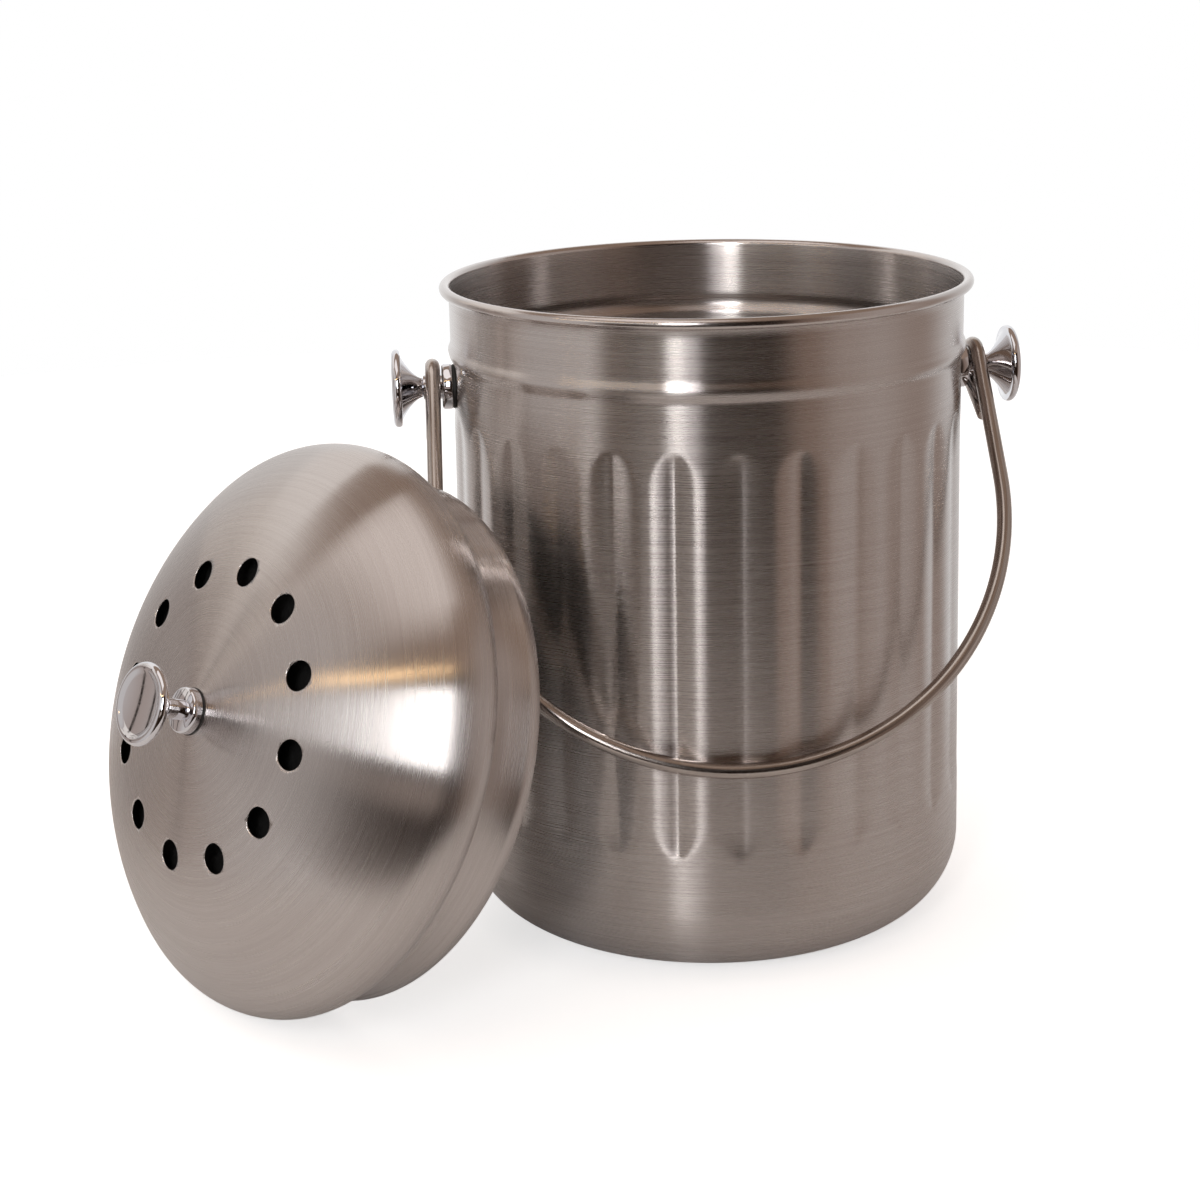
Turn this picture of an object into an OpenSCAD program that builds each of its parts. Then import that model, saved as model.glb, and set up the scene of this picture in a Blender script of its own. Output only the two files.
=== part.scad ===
// Countertop compost pail: fluted sheet-steel pail, wire bail on two knobbed
// ears, and a loose vented dome lid that stands against the bail.
// Millimetres, +Z up. Origin: centre of the base, on the surface it stands on.
// -Y is the side the bail hangs on, the ears lie on the X axis.

/* [Pail] */
// Height of the pail to the top of its rim
pail_h = 233; // [180:1:300]
// Inner radius of the mouth
mouth_r = 90.4; // [78:0.1:110]
// Thickness of the sheet steel
sheet = 0.5; // [0.4:0.1:0.8]
// How far the neck stands out from the wall below it
neck_step = 0.6; // [0.2:0.1:1.2]
// How much wider the wall is at the foot than under the neck
body_taper = 1.7; // [0.4:0.1:4]
// Radius of the rolled wire edge at the rim
rim_bead_r = 1.9; // [1.2:0.1:3]
// Height of the stiffening bead below the rim
bead_drop = 24.5; // [24:0.5:30]
// Half the height of the stiffening bead
bead_half = 3.5; // [2:0.5:5]
// How far the stiffening bead stands out from the wall
bead_out = 1.3; // [0.5:0.1:2.5]

/* [Base] */
// Radius of the rounded bottom corner
corner_r = 28; // [14:1:34]
// Height of the seam between the wall and the base pan
seam_z = 7; // [4:0.5:10]
// Flat left between the stiffening groove and the rounded corner
groove_gap = 6; // [3:0.5:12]
// Width of the stiffening groove
groove_w = 8; // [4:1:10]
// Depth of the stiffening groove
groove_d = 1; // [0.5:0.1:2]

/* [Flutes] */
// Number of flutes around the wall
flute_count = 27; // [12:1:30]
// Turn of the flutes from the front
flute_phase = -2; // [-6:0.5:6]
// Depth of a flute at its crease
flute_d = 1.1; // [0.6:0.1:1.6]
// Slope of a flute's two faces
flute_slope = 6; // [4:0.5:10]
// Height of the lower end of a flute
flute_low_z = 48; // [40:1:80]
// Distance from the top of a flute to the middle of the bead
flute_top_gap = 20.5; // [12:0.5:40]

/* [Ears] */
// Distance from the middle of the bead down to the ear axis
ear_drop = 11.7; // [8:0.1:14]
// Depth of the flat that is pressed into the wall for each ear
ear_flat_d = 0.7; // [0.5:0.1:1.2]
// Radius of the tool that presses the flat
ear_flat_r = 11; // [9:0.5:12]
// Thickness of the rubber gasket
gasket_t = 1.2; // [1:0.1:4]
// Radius of the rubber gasket
gasket_r = 7.8; // [6.5:0.05:8.5]
// Thickness of the pivot bush's flange
flange_t = 3.7; // [1.5:0.1:5]
// Radius of the pivot bush's flange
flange_r = 8; // [6.8:0.1:8.5]
// Radius of the pivot bush's hub, which carries the bail
hub_r = 4.3; // [3.6:0.1:4.5]

/* [Screws] */
// Radius of a screw's shank
screw_r = 2; // [1.5:0.1:2.2]
// Clearance of a screw in its holes
screw_clear = 0.1; // [0.05:0.05:0.2]
// Radius of a screw's head
head_r = 4; // [3.4:0.1:4.5]
// Height of a screw's head
head_h = 2.4; // [1.8:0.1:3]
// Thickness of the washer under a screw's head
washer_t = 1; // [0.6:0.1:1.5]
// Radius of the washer under a screw's head
washer_r = 5.5; // [5:0.1:7]

/* [Knobs] */
// Radius of a knob's disc
knob_r = 13.75; // [10:0.25:16]
// Length of a knob from its tip to its rim
knob_l = 10.9; // [9:0.1:14]
// Radius of a knob's tip
knob_tip_r = 3.4; // [3:0.1:4]
// Radius of the rolled edge of a knob's disc
knob_edge_r = 1.8; // [1:0.1:2.2]
// How late a knob's trumpet opens, where 1 is a plain cone
knob_flare = 1.7; // [1.2:0.1:3]
// Depth of the dish in a knob's face
knob_dish = 1.2; // [0.5:0.1:2]
// Length of the extra stem under the lid's knob
stem_l = 5.6; // [3:0.1:12]

/* [Bail] */
// Diameter of the bail's wire
wire_d = 5.3; // [4:0.1:6]
// Play between the bail's eye and the hub, on the radius
eye_play = 0.5; // [0.2:0.1:0.8]
// Play of the bail's eye along the hub, on each side
eye_side = 0.65; // [0.3:0.05:1]
// Length of a leg from the ear to the start of the bow
leg_l = 46.5; // [40:0.5:80]
// Angle at which the legs spread towards the bow
leg_splay = 2; // [0.5:0.1:3]
// Length of the wire's tail from the ear axis
tail_l = 21; // [16:1:30]
// Gap between the hanging bail and the wall
rest_gap = 0.3; // [0.2:0.05:0.6]

/* [Lid] */
// Clearance of the lid's skirt in the mouth, on the radius
lid_clear = 0.2; // [0.15:0.05:0.6]
// Height of the skirt below the dome
skirt_h = 21.7; // [14:0.1:22]
// Height of the hem at the skirt's lower edge
hem_h = 5; // [3:0.5:8]
// How far the hem stands out from the skirt
hem_out = 0.3; // [0.2:0.1:0.6]
// How far the dome's shoulder stands out from the skirt
shoulder_out = 7.4; // [5:0.1:10]
// Height of the dome's widest line above the skirt's edge
shoulder_z = 27.9; // [24:0.1:32]
// Radius of the curl under the shoulder
curl_r = 6.7; // [5.5:0.1:7.4]
// Radius of the tight curve over the shoulder
shoulder_r = 17.4; // [12:0.1:22]
// Radius of the broad curve above the shoulder
crown_r = 93.3; // [80:0.1:110]
// Slope at which the broad curve meets the cone on top
cone_slope = 9.1; // [6:0.1:12]
// Slope at which the two curves meet
blend_slope = 45; // [35:1:55]
// Radius of the flat seat under the knob
seat_r = 8.3; // [8:0.1:10]
// Thickness of the dome's sheet
dome_t = 0.6; // [0.4:0.1:0.8]

/* [Vents] */
// Number of vent holes
vent_count = 12; // [6:1:16]
// Radius of the circle of vent holes
vent_ring_r = 48.4; // [34:0.1:50]
// Radius of a vent hole
vent_r = 5; // [3:0.1:6]
// Turn of the circle of vent holes
vent_phase = -2; // [-15:0.5:15]

/* [Lid knob] */
// Thickness of the ring gasket under the lid's collar
ring_t = 0.6; // [0.4:0.1:1.5]
// Radius of the ring gasket under the lid's collar
ring_r = 7.9; // [7:0.1:8]
// Thickness of the lid's collar
collar_t = 3.5; // [2:0.1:6]
// Radius of the lid's collar
collar_r = 7.7; // [6.5:0.1:7.9]

/* [Filter] */
// Radius of the charcoal filter
filter_r = 58; // [54:0.5:64]
// Thickness of the charcoal filter
filter_t = 8; // [5:0.5:9]
// Height of the filter holder's lower edge above the skirt's edge
holder_z = 46; // [44:0.5:50]
// Wall of the filter holder
holder_w = 2.4; // [1.6:0.1:3]
// Clearance of the filter and its grille in the holder
filter_clear = 0.3; // [0.2:0.05:0.6]
// Thickness of the filter's grille
grille_t = 2.5; // [2:0.1:4]
// Radius of a hole in the grille
grille_hole_r = 6; // [3:0.5:6.5]
// Thickness of the grille's finger grip
grip_w = 3; // [2:0.1:5]
// Length of the grille's finger grip
grip_l = 44; // [30:1:60]
// Height of the grille's finger grip
grip_h = 8; // [5:0.5:12]

/* [Where the lid stands] */
// Direction the lid faces, turned from -Y towards -X
lid_turn = 55.4; // [45:0.1:65]
// Lean of the lid back from upright
lid_lean = 20.8; // [18:0.1:26]
// Gap between the skirt's edge and the wire of the bail that it leans on
lean_gap = 0.65; // [0.3:0.05:2]
// Gap between the standing lid and the surface below
stand_gap = 0.3; // [0.1:0.05:0.5]

/* [Hidden] */
$fn = 64;

eps = 0.01;
steel = "#b5aca3";
chrome = "#d9d9dc";
black_rubber = "#1d1c1b";
charcoal = "#232323";

// Points of an arc about c: angle a0 to a1 in n steps
function arc(c, r, a0, a1, n) =
    [for (i = [0 : n]) let (a = a0 + (a1 - a0) * i / n) [c[0] + r * cos(a), c[1] + r * sin(a)]];
function reversed(list) = [for (i = [len(list) - 1 : -1 : 0]) list[i]];

// Wall: outer radii, and the heights where they hold
neck_r = mouth_r + sheet;
body_top_r = neck_r - neck_step;
foot_r = body_top_r + body_taper;
bead_z = pail_h - bead_drop;
bead_low = bead_z - bead_half;
bead_high = bead_z + bead_half;
corner_c = foot_r - corner_r;
groove_r = corner_c - groove_gap - groove_w;
function body_r(z) = foot_r - body_taper * (z - corner_r) / (bead_low - corner_r);
function corner_x(r) = corner_c + sqrt(r * r - pow(corner_r - seam_z, 2));
function corner_a(r) = -asin((corner_r - seam_z) / r);

// Wall outline, moved inwards by t
function wall_line(t) = concat(
    arc([corner_c, corner_r], corner_r - t, corner_a(corner_r - t), 0, 10),
    [[body_top_r - t, bead_low]],
    [for (i = [1 : 7]) let (u = i / 8)
        [body_top_r - t + (neck_r - body_top_r) * u + bead_out * sin(180 * u),
         bead_low + 2 * bead_half * u]],
    [[neck_r - t, bead_high], [neck_r - t, pail_h - rim_bead_r]]);

// Flutes
flute_top_z = bead_z - flute_top_gap;
taper_a = atan(body_taper / (bead_low - corner_r));
cutter_half = min(12, flute_d / tan(flute_slope) + 4);

// Ears
ear_z = bead_z - ear_drop;
ear_face = body_r(ear_z) - ear_flat_d;
flange_end = ear_face + gasket_t + flange_t;
eye_x = flange_end + eye_side + wire_d / 2;
hub_end = eye_x + wire_d / 2 + eye_side;
hole_r = screw_r + screw_clear;
thread_l = 6;
slot_w = 0.9;
slot_l = 4.6;
slot_d = 1.2;

// Bail, in its own plane: l runs down a leg, w away from the pail
wire_r = wire_d / 2;
join_l = 0.3;
rod_r = wire_r - 0.02;
eye_r = hub_r + eye_play + wire_r;
bow_r = (eye_x + leg_l * sin(leg_splay)) / cos(leg_splay);
bow_l = leg_l * cos(leg_splay) + bow_r * sin(leg_splay);
tail_end = [eye_r - wire_d - 0.1, tail_l];
tail_reach = norm(tail_end);
tail_a = atan2(tail_end[0], tail_end[1]) - acos(eye_r / tail_reach);
bail_l = bow_l + bow_r;
bail_reach = norm([bail_l, eye_r]);
touch_z = ear_z - sqrt(pow(bail_reach, 2) - pow(foot_r, 2));
bail_tilt = asin((body_r(touch_z) + wire_r + rest_gap) / bail_reach) - atan(eye_r / bail_l);

// Lid, in its own frame: z from the skirt's edge towards the knob
skirt_r = mouth_r - lid_clear;
skirt_body_r = skirt_r - hem_out;
shoulder_x = skirt_r + shoulder_out;
curl_end_a = -acos((skirt_body_r + dome_t - (shoulder_x - curl_r)) / curl_r);
tight_c = [shoulder_x - shoulder_r, shoulder_z];
blend_p = tight_c + shoulder_r * [sin(blend_slope), cos(blend_slope)];
broad_c = blend_p - crown_r * [sin(blend_slope), cos(blend_slope)];
cone_p = broad_c + crown_r * [sin(cone_slope), cos(cone_slope)];
seat_z = cone_p[1] + (cone_p[0] - seat_r) * tan(cone_slope);

// Dome outline from the knob's seat to the curl, moved inwards by t
function dome_line(t) = concat(
    [[seat_r, seat_z - t]],
    arc(broad_c, crown_r - t, 90 - cone_slope, 90 - blend_slope, 14),
    arc(tight_c, shoulder_r - t, 90 - blend_slope - 6, 0, 8),
    arc([shoulder_x - curl_r, shoulder_z], curl_r - t, -8, curl_end_a, 8));

collar_z = seat_z + ring_t;
knob_z = collar_z + collar_t;
stem_hole = stem_l + 4;
holder_r = filter_r + filter_clear + holder_w;

// The lid's place: it stands on its skirt and leans on the left side of the bail.
// lean_x and lean_y give the middle of the wire at the height of the skirt's top.
lid_z = skirt_r * cos(lid_lean) + stand_gap;
lean_z = lid_z + skirt_r * cos(lid_lean);
lean_l = (ear_z + eye_r * sin(bail_tilt) - lean_z) / cos(bail_tilt);
on_bow = max(0, lean_l - bow_l);
lean_x = on_bow > 0 ? sqrt(pow(bow_r, 2) - pow(on_bow, 2)) : eye_x + lean_l * sin(leg_splay);
lean_y = eye_r * cos(bail_tilt) + lean_l * sin(bail_tilt);
lean_out = (lean_z - lid_z) * tan(lid_lean) + (wire_r + lean_gap) / cos(lid_lean);
lid_c = [-lean_x - lean_out * sin(lid_turn), -lean_y - lean_out * cos(lid_turn), lid_z];

module at_ear(side) {
    translate([0, 0, ear_z]) rotate([0, side * 90, 0]) children();
}

module on_lid() {
    translate(lid_c) rotate([0, 0, -90 - lid_turn]) rotate([0, 90 - lid_lean, 0]) children();
}

// A straight round rod from a to b
module rod(a, b, r) {
    d = b - a;
    translate(a) rotate([0, acos(d[2] / norm(d)), atan2(d[1], d[0])]) cylinder(h = norm(d), r = r);
}

// A flat ring with a round hole
module ring(r, hole, h) {
    difference() {
        cylinder(h = h, r = r);
        translate([0, 0, -1]) cylinder(h = h + 2, r = hole);
    }
}

// Space of all flutes, moved inwards by t: shallow wedges along the wall
module flute_space(t) {
    rise = cutter_half * tan(flute_slope);
    for (i = [0 : flute_count - 1]) rotate([0, 0, flute_phase + i * 360 / flute_count])
        translate([0, -(body_r(flute_low_z) - flute_d - t), flute_low_z]) rotate([-taper_a, 0, 0])
            linear_extrude(height = flute_top_z - flute_low_z)
                polygon([
                    [0, 0], [cutter_half, -rise], [cutter_half, -rise - 2],
                    [-cutter_half, -rise - 2], [-cutter_half, -rise]
                ]);
}

// Space of the two pressed flats under the ears, moved inwards by t
module ear_flat_space(t) {
    for (side = [-1, 1]) at_ear(side) translate([0, 0, ear_face - t]) cylinder(h = 10, r = ear_flat_r);
}

// The wall filled solid, moved inwards by t
module wall_solid(t) {
    line = wall_line(t);
    difference() {
        rotate_extrude() polygon(concat([[0, seam_z]], line, [[0, pail_h - rim_bead_r]]));
        flute_space(t);
        ear_flat_space(t);
    }
}

module pail_shell() {
    color(steel) {
        difference() {
            wall_solid(0);
            wall_solid(sheet);
            translate([0, 0, seam_z - 1]) cylinder(h = 1, r = foot_r);
            translate([0, 0, pail_h - rim_bead_r - 1]) cylinder(h = 2, r = mouth_r);
            for (side = [-1, 1]) at_ear(side) cylinder(h = foot_r, r = hole_r);
        }
        rotate_extrude() translate([mouth_r + rim_bead_r, pail_h - rim_bead_r]) circle(r = rim_bead_r);
    }
}

module base_pan() {
    outer = [
        [0, 0], [groove_r, 0], [groove_r + groove_d, groove_d],
        [groove_r + groove_w - groove_d, groove_d], [groove_r + groove_w, 0]
    ];
    color(steel) rotate_extrude() polygon(concat(
        outer,
        arc([corner_c, corner_r], corner_r, -90, corner_a(corner_r), 8),
        reversed(arc([corner_c, corner_r], corner_r - sheet, -90, corner_a(corner_r - sheet), 8)),
        reversed([for (p = outer) p + [0, sheet]])));
}

module ear_gasket(side) {
    color(black_rubber) at_ear(side) translate([0, 0, ear_face]) ring(gasket_r, hole_r, gasket_t);
}

module ear_bush(side) {
    color(chrome) at_ear(side) difference() {
        union() {
            translate([0, 0, ear_face + gasket_t]) cylinder(h = flange_t, r = flange_r);
            translate([0, 0, flange_end - eps]) cylinder(h = hub_end - flange_end + eps, r = hub_r);
        }
        cylinder(h = hub_end + 1, r = hole_r);
    }
}

// Trumpet-shaped knob on the z axis, tip at 0, with a stem below the trumpet
module knob(stem, hole_l) {
    top = stem + knob_l;
    edge_c = [knob_r - knob_edge_r, top - knob_edge_r];
    flare = edge_c[1] - knob_edge_r * 0.6 - stem;
    trumpet = [for (i = [0 : 8]) let (u = i / 8)
        [knob_tip_r + (edge_c[0] - knob_tip_r) * pow(u, knob_flare), stem + flare * u]];
    difference() {
        rotate_extrude() polygon(concat(
            [[0, 0], [knob_tip_r, 0]],
            trumpet,
            arc(edge_c, knob_edge_r, -40, 110, 9),
            [[(edge_c[0] - knob_edge_r) * 0.7, top - knob_dish * 0.75], [0, top - knob_dish]]));
        translate([0, 0, -1]) cylinder(h = hole_l + 1, r = hole_r);
    }
}

module ear_knob(side) {
    color(chrome) at_ear(side) translate([0, 0, hub_end]) knob(0, thread_l + 0.5);
}

module ear_washer(side) {
    color(steel) at_ear(side) translate([0, 0, ear_face - sheet - washer_t]) ring(washer_r, hole_r, washer_t);
}

// Pan-head screw on the z axis, with the underside of its head at 0
module screw(shank) {
    difference() {
        union() {
            translate([0, 0, -head_h]) cylinder(h = head_h, r = head_r);
            cylinder(h = shank, r = screw_r);
        }
        for (a = [0, 90]) rotate([0, 0, a])
            translate([-slot_l / 2, -slot_w / 2, -head_h - 1]) cube([slot_l, slot_w, slot_d + 1]);
    }
}

module ear_screw(side) {
    head = ear_face - sheet - washer_t;
    color(steel) at_ear(side) translate([0, 0, head]) screw(hub_end + thread_l - head);
}

// One leg of the bail with its eye and tail: the wire turns about the x axis.
// The straight rods are a hair thinner than the bends and run a little way into them.
module bail_side() {
    start = eye_r * [sin(tail_a), cos(tail_a)];
    tail_dir = (tail_end - start) / norm(tail_end - start);
    tail_in = start - join_l * tail_dir;
    translate([eye_x, 0, 0]) rotate([0, -leg_splay, 0]) {
        rotate([90, 0, -90]) rotate_extrude(angle = 270 + tail_a) translate([eye_r, 0]) circle(r = wire_r);
        rod([0, -tail_in[0], -tail_in[1]], [0, -tail_end[0], -tail_end[1]], rod_r);
        translate([0, -eye_r, -leg_l - join_l]) cylinder(h = leg_l + 2 * join_l, r = rod_r);
    }
}

module bail_handle() {
    color(chrome) translate([0, 0, ear_z]) rotate([-bail_tilt, 0, 0]) {
        bail_side();
        mirror([1, 0, 0]) bail_side();
        translate([0, -eye_r, -bow_l]) rotate([-90, 0, 0]) rotate([0, 0, -leg_splay])
            rotate_extrude(angle = 180 + 2 * leg_splay) translate([bow_r, 0]) circle(r = wire_r);
    }
}

module lid_dome() {
    flange_top = skirt_h + 4;
    color(steel) on_lid() difference() {
        rotate_extrude() polygon(concat(
            [[0, seat_z]],
            dome_line(0),
            [[skirt_body_r, skirt_h - dome_t], [skirt_body_r, flange_top]],
            [[skirt_body_r + dome_t, flange_top]],
            reversed(dome_line(dome_t)),
            [[0, seat_z - dome_t]]));
        cylinder(h = seat_z + 1, r = hole_r);
        for (i = [0 : vent_count - 1])
            rotate([0, 0, vent_phase + i * 360 / vent_count]) translate([vent_ring_r, 0, holder_z])
                cylinder(h = seat_z, r = vent_r);
    }
}

module lid_skirt() {
    inner = skirt_body_r - dome_t;
    color(steel) on_lid() rotate_extrude() polygon([
        [inner, 0], [skirt_r, 0], [skirt_r, hem_h], [skirt_body_r, hem_h + hem_out],
        [skirt_body_r, skirt_h + 4], [inner, skirt_h + 4]
    ]);
}

module lid_ring_gasket() {
    color(black_rubber) on_lid() translate([0, 0, seat_z]) ring(ring_r, hole_r, ring_t);
}

module lid_collar() {
    color(chrome) on_lid() translate([0, 0, collar_z]) ring(collar_r, hole_r, collar_t);
}

module lid_knob() {
    color(chrome) on_lid() translate([0, 0, knob_z]) knob(stem_l, stem_hole + 0.5);
}

module lid_washer() {
    color(steel) on_lid() translate([0, 0, seat_z - dome_t - washer_t]) ring(washer_r, hole_r, washer_t);
}

module lid_screw() {
    head = seat_z - dome_t - washer_t;
    color(steel) on_lid() translate([0, 0, head]) screw(knob_z + stem_hole - head);
}

module filter_holder() {
    color(charcoal) on_lid() difference() {
        intersection() {
            translate([0, 0, holder_z]) cylinder(h = seat_z, r = holder_r);
            rotate_extrude() polygon(concat(
                [[0, seat_z - dome_t]], dome_line(dome_t), [[0, shoulder_z - curl_r]]));
        }
        cylinder(h = 2 * seat_z, r = filter_r + filter_clear);
    }
}

module charcoal_filter() {
    color(charcoal) on_lid() translate([0, 0, holder_z + grille_t]) cylinder(h = filter_t, r = filter_r);
}

module filter_grille() {
    color(black_rubber) on_lid() translate([0, 0, holder_z]) {
        difference() {
            cylinder(h = grille_t, r = filter_r);
            for (i = [0 : 5]) rotate([0, 0, 30 + 60 * i]) translate([0.36 * filter_r, 0, -1])
                cylinder(h = grille_t + 2, r = grille_hole_r);
            for (i = [0 : 11]) rotate([0, 0, 15 + 30 * i]) translate([0.74 * filter_r, 0, -1])
                cylinder(h = grille_t + 2, r = grille_hole_r);
        }
        translate([-grip_l / 2, -grip_w / 2, -grip_h]) cube([grip_l, grip_w, grip_h + 1]);
    }
}

pail_shell();
base_pan();
ear_gasket(-1);  // ear_gasket_left
ear_gasket(1);  // ear_gasket_right
ear_bush(-1);  // ear_bush_left
ear_bush(1);  // ear_bush_right
ear_knob(-1);  // ear_knob_left
ear_knob(1);  // ear_knob_right
ear_washer(-1);  // ear_washer_left
ear_washer(1);  // ear_washer_right
ear_screw(-1);  // ear_screw_left
ear_screw(1);  // ear_screw_right
bail_handle();
lid_dome();
lid_skirt();
lid_ring_gasket();
lid_collar();
lid_knob();
lid_washer();
lid_screw();
filter_holder();
charcoal_filter();
filter_grille();
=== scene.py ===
# %% [markdown]
# # A compost pail in brushed steel
# This lesson dresses a steel countertop compost pail with its loose, vented dome lid. The solid
# model (the frame) already holds the exact sizes and says which part swings or slides. Blender's
# task here is the look: curved sheet metal with pressed flutes, brushed and mirror finishes,
# a camera, a pale floor and soft studio light. Lengths are written in millimetres and turned to
# metres once, when a mesh is made.

# %% Load the frame
import math

import bpy
from mathutils import Matrix, Vector


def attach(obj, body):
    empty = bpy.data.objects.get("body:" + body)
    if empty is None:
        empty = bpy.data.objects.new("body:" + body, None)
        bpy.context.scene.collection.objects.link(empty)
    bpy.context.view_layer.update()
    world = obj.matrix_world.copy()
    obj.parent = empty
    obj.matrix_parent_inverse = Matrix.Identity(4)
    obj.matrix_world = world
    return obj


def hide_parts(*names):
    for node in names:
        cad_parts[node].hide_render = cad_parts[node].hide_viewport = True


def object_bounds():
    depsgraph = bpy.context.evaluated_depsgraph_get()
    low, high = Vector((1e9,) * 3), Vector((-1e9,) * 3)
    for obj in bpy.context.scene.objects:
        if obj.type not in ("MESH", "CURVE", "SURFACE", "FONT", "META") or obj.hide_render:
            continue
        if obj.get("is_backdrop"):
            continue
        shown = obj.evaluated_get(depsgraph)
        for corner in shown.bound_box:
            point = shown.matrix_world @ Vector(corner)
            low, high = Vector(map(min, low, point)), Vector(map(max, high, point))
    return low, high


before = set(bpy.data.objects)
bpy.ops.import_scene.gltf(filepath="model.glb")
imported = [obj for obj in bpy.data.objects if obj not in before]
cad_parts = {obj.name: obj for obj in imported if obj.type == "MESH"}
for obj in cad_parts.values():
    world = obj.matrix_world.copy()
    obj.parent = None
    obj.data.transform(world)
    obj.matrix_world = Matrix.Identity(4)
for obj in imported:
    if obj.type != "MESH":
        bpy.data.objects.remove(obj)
cad_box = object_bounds()
print("nodes:", len(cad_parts))

# %% [markdown]
# ## The camera
# A long lens far away keeps the pail's sides nearly parallel. The camera stands in front of the
# pail, about 36 cm up, and looks slightly down, so the mouth shows as a narrow ellipse. Its place
# is given by a point, a heading (yaw), a tilt (pitch) and a small roll.

# %% Camera
MM = 0.001
CAMERA_BACK, CAMERA_HIGH = 855.3, 362.1
CAMERA_YAW, CAMERA_PITCH, CAMERA_ROLL = -0.0465, 0.2826, 0.0223
SENSOR_MM, LENS_MM = 36, 72.58
# The ears lie along X; the camera looks at the pail from 8.45 degrees to the left of square
FRAME_TURN = math.radians(8.45)

yaw, pitch, roll = CAMERA_YAW, CAMERA_PITCH, CAMERA_ROLL
ahead = Vector((math.sin(yaw) * math.cos(pitch), math.cos(yaw) * math.cos(pitch), -math.sin(pitch)))
right = Vector((math.cos(yaw), -math.sin(yaw), 0))
down = ahead.cross(right)
right, down = (math.cos(roll) * right + math.sin(roll) * down,
               -math.sin(roll) * right + math.cos(roll) * down)
axes = Matrix((right, -down, -ahead)).transposed()
turn = Matrix.Rotation(-FRAME_TURN, 4, "Z")
spot = Matrix.Translation(Vector((0, -CAMERA_BACK, CAMERA_HIGH)) * MM)
camera = bpy.data.objects.new("camera", bpy.data.cameras.new("camera"))
bpy.context.scene.collection.objects.link(camera)
camera.matrix_world = turn @ spot @ axes.to_4x4()
camera.data.sensor_width = SENSOR_MM
camera.data.lens = LENS_MM
camera.data.clip_start, camera.data.clip_end = 0.05, 50
bpy.context.scene.camera = camera
print("camera at", [round(v, 3) for v in camera.location])

# %% [markdown]
# ## Sizes
# These are the solid model's own sizes, in millimetres. Every piece made below is worked out from
# them, so each one fills the space that its solid holds. Angles round the pail are counted from
# the front, where y is lowest.

# %% Sizes of the pail
PAIL_H, MOUTH_R, SHEET = 233, 90.4, 0.5
NECK_R, BODY_TOP_R, FOOT_R, CORNER_R, SEAM_Z = 90.9, 90.3, 92.0, 28, 7
RIM_R = 1.9
BEAD_LOW, BEAD_HIGH, BEAD_OUT = 205, 212, 1.3
EAR_Z, EAR_FACE, EAR_FLAT_R = 196.8, 89.679, 11
GASKET_T, GASKET_R, FLANGE_T, FLANGE_R, HUB_R, HUB_END = 1.2, 7.8, 3.7, 8.0, 4.3, 101.179
FLUTES, FLUTE_PHASE, FLUTE_D, FLUTE_LOW, FLUTE_TOP = 27, math.radians(-2), 1.2, 48, 188
FLUTE_STEP = 2 * math.pi / FLUTES


def body_r(z):
    return FOOT_R - (FOOT_R - BODY_TOP_R) * (z - CORNER_R) / (BEAD_LOW - CORNER_R)


print("one flute every", round(FLUTE_STEP * body_r(FLUTE_TOP), 1), "mm round the wall")


# %% [markdown]
# ## Turned pieces
# Most of this object is spun or turned: the wall, the base, the dome, the knobs. Each is made by
# turning a closed outline of (radius, height) points about an axis. The texture map that comes
# with it has the turn in u, from 0 to 1, and the length along the outline in v, in metres. The
# brushed finishes need both: u gives the direction of the grain, v its spacing. Blender's Spin and
# Screw modifiers turn an outline too, but they don't give this map or let single points be pushed
# in, as the flutes need.


# %% Arcs and meshes
def arc(centre, radius, start, end, steps):
    turns = [math.radians(start + (end - start) * i / steps) for i in range(steps + 1)]
    return [(centre[0] + radius * math.cos(t), centre[1] + radius * math.sin(t)) for t in turns]


# An edge that turns by more than corner degrees stays sharp
def mesh_piece(name, points, faces, uvs, corner=40):
    mesh = bpy.data.meshes.new(name)
    mesh.from_pydata([tuple(c * MM for c in p) for p in points], [], faces)
    layer = mesh.uv_layers.new(name="UVMap")
    flat = [c for face in uvs for uv in face for c in uv]
    layer.data.foreach_set("uv", flat)
    mesh.shade_smooth()
    mesh.set_sharp_from_angle(angle=math.radians(corner))
    piece = bpy.data.objects.new(name, mesh)
    bpy.context.scene.collection.objects.link(piece)
    return piece


# %% A lathe for meshes
# shape gives the press at an angle and a height, place moves the finished points, and reverse is
# for an outline that runs the other way round
def turned(name, outline, steps=192, place=None, shape=None, corner=40, reverse=False):
    count = len(outline)
    lengths = [0.0]
    for i in range(count):
        (r0, z0), (r1, z1) = outline[i], outline[(i + 1) % count]
        lengths.append(lengths[-1] + math.hypot(r1 - r0, z1 - z0) * MM)
    points, faces, uvs = [], [], []
    for k in range(steps):
        a = 2 * math.pi * k / steps
        for r, z in outline:
            radius = r + (shape(a, z) if shape else 0)
            points.append(Vector((radius * math.sin(a), -radius * math.cos(a), z)))
    for k in range(steps):
        n = (k + 1) % steps
        for i in range(count):
            j = (i + 1) % count
            face = [k * count + i, n * count + i, n * count + j, k * count + j]
            u0, u1 = k / steps, (k + 1) / steps
            uv = [(u0, lengths[i]), (u1, lengths[i]), (u1, lengths[i + 1]), (u0, lengths[i + 1])]
            if reverse:
                face, uv = face[::-1], uv[::-1]
            faces.append(face)
            uvs.append(uv)
    if place is not None:
        points = [place @ p for p in points]
    return mesh_piece(name, points, faces, uvs, corner)


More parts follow.
